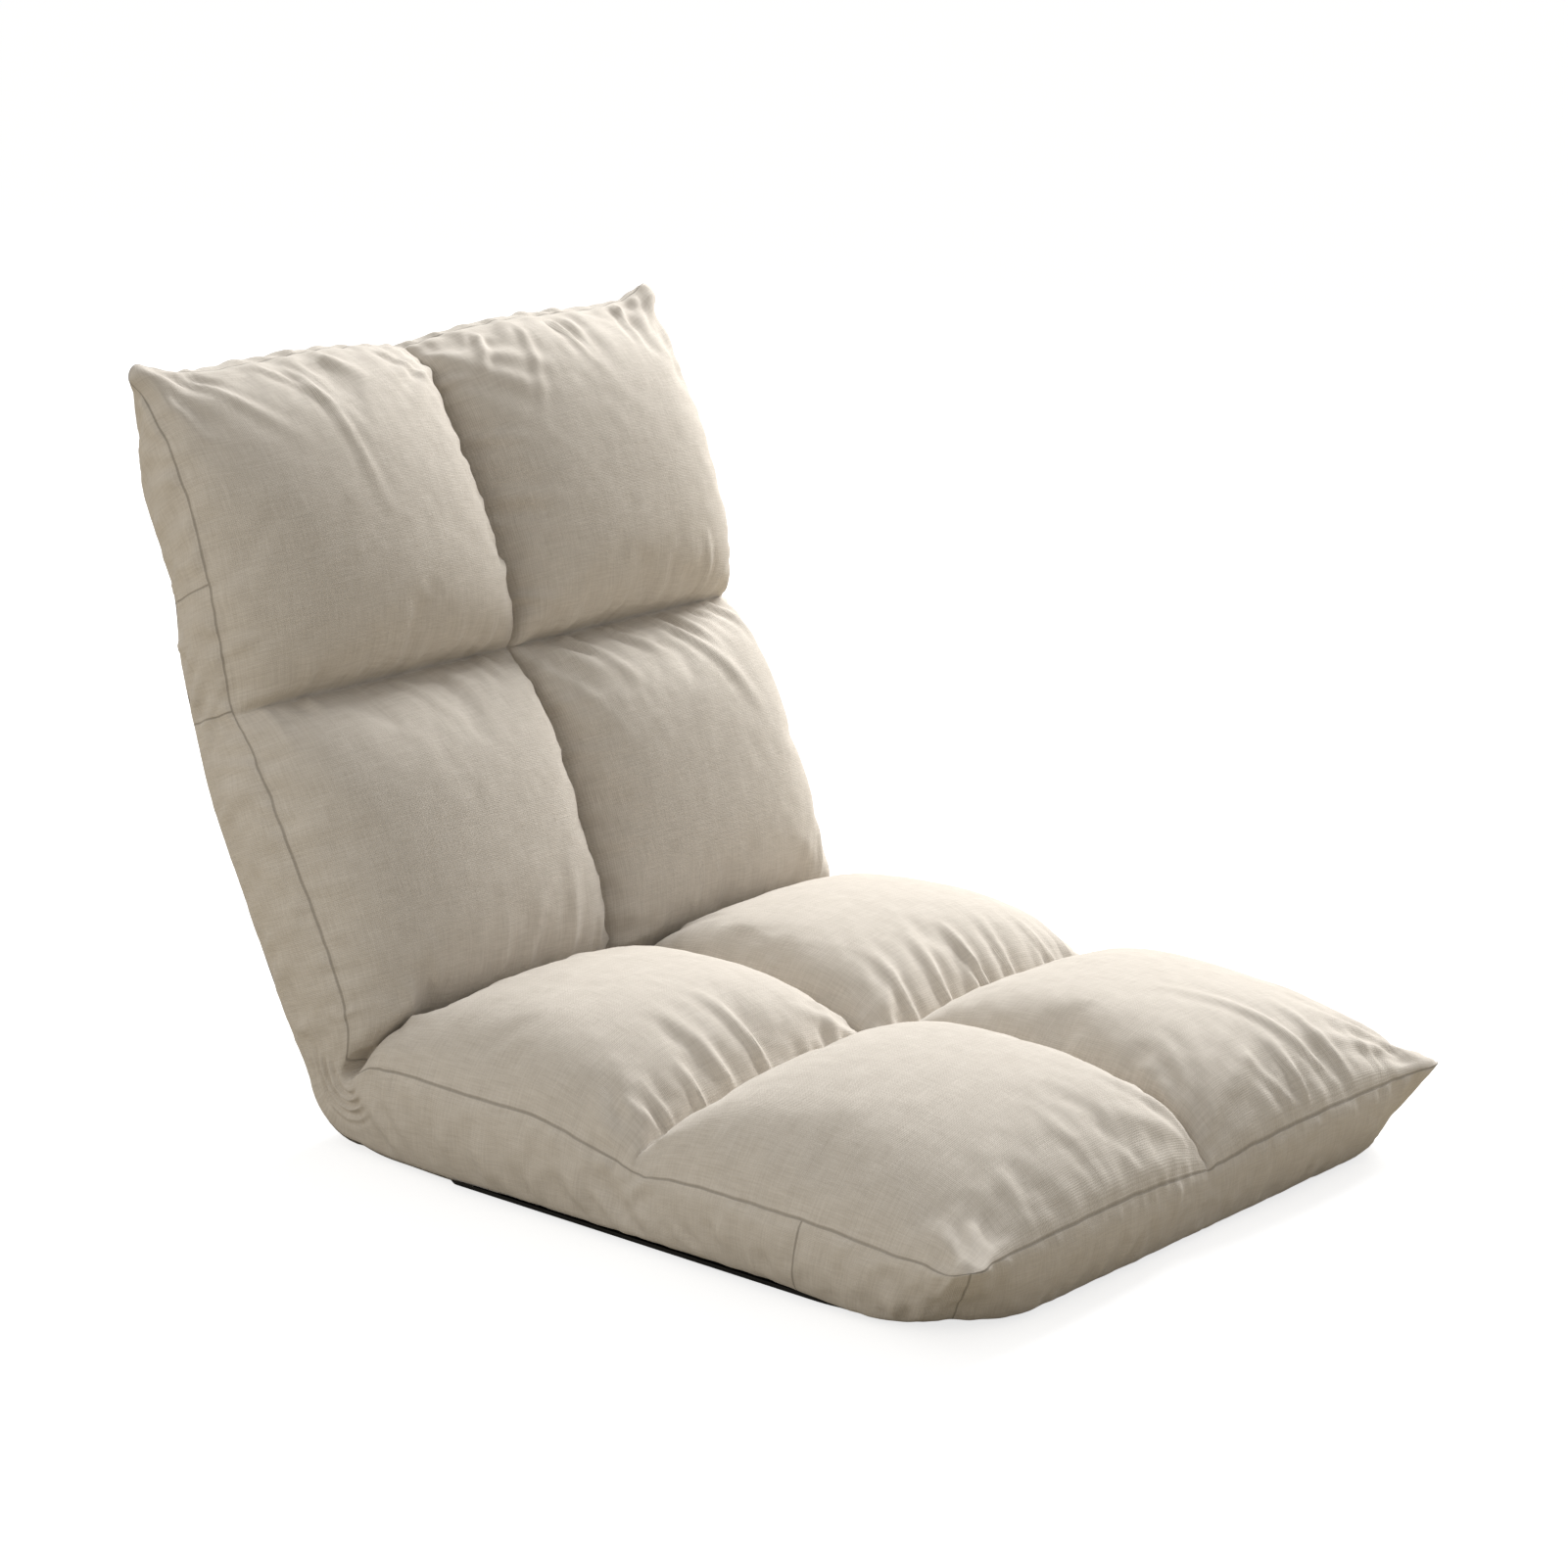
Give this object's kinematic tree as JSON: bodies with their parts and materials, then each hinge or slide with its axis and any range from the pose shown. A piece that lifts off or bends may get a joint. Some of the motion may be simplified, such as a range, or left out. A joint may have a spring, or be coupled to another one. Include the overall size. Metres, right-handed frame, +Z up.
{
  "type": "floor chair",
  "caption": "Folding floor chair with a tufted, padded fabric seat and back joined by ratchet hinges, so the back reclines flat or folds forward.",
  "frame": {"origin": "middle of the seat's flat underside, between the hinge axis and the front seam, on the floor", "axes": "+X to the sitter's left, along the hinge axis; +Y from the front of the seat to the back; +Z up"},
  "size_m": [0.5156, 0.7367, 0.5042],
  "materials": {
    "cover": "matte cream plain weave",
    "base": "matte black non-woven",
    "foam": "matte",
    "frame": "satin black",
    "webbing": "matte",
    "hinge": "zinc plated",
    "zip": "matte",
    "zip_metal": "satin"
  },
  "bodies": {
    "seat": {"seat_pad_front_left": "cover", "seat_pad_front_right": "cover", "seat_pad_rear_left": "cover", "seat_pad_rear_right": "cover", "seat_boxing_left": "cover", "seat_boxing_right": "cover", "seat_boxing_front": "cover", "crease_gusset_left": "cover", "crease_gusset_right": "cover", "hinge_cloth": "cover", "base_cloth": "base", "seat_foam": "foam", "seat_frame_tube": "frame", "seat_cross_tube": "frame", "seat_webbing": "webbing", "hinge_outer_plate_left": "hinge", "hinge_outer_plate_right": "hinge", "hinge_inner_plate_left": "hinge", "hinge_inner_plate_right": "hinge", "hinge_pivot_left": "hinge", "hinge_pivot_right": "hinge", "hinge_pins": "hinge", "pawl_spring_left": "hinge", "pawl_spring_right": "hinge", "seat_tube_rivets": "hinge"},
    "back": {"back_pad_upper_left": "cover", "back_pad_upper_right": "cover", "back_pad_lower_left": "cover", "back_pad_lower_right": "cover", "back_boxing_left": "cover", "back_boxing_right": "cover", "back_boxing_top": "cover", "rear_panel": "cover", "back_foam": "foam", "back_frame_tube": "frame", "back_cross_tube": "frame", "back_webbing": "webbing", "notched_arm_left": "hinge", "notched_arm_right": "hinge", "back_tube_rivets": "hinge", "zip_tape": "zip"},
    "pawl_left": {"pawl_left": "hinge"},
    "pawl_right": {"pawl_right": "hinge"},
    "zip_slider": {"zip_slider": "zip_metal"},
    "zip_pull": {"zip_pull": "zip_metal"}
  },
  "joints": [
    {"name": "fold", "type": "hinge", "parent": "seat", "child": "back", "pos_m": [0, 0.2635, 0.046], "axis": [1, 0, 0], "range_deg": [-67.5, 82.5], "deforming": ["seat_pad_rear_left", "seat_pad_rear_right", "back_pad_lower_left", "back_pad_lower_right", "crease_gusset_left", "crease_gusset_right", "hinge_cloth"]},
    {"name": "pawl_left_lock", "type": "hinge", "parent": "seat", "child": "pawl_left", "pos_m": [0, 0.23565, 0.03697], "axis": [1, 0, 0], "range_deg": [0, 10], "deforming": ["pawl_spring_left"]},
    {"name": "pawl_right_lock", "type": "hinge", "parent": "seat", "child": "pawl_right", "pos_m": [0, 0.23565, 0.03697], "axis": [1, 0, 0], "range_deg": [0, 10], "deforming": ["pawl_spring_right"]},
    {"name": "zip_slide", "type": "slide", "parent": "back", "child": "zip_slider", "axis": [-1, 0, 0], "range_m": [0, 0.378]},
    {"name": "zip_pull_swing", "type": "hinge", "parent": "zip_slider", "child": "zip_pull", "pos_m": [0, 0.33546, 0.09856], "axis": [1, 0, 0], "range_deg": [-19.9, 150]}
  ]
}
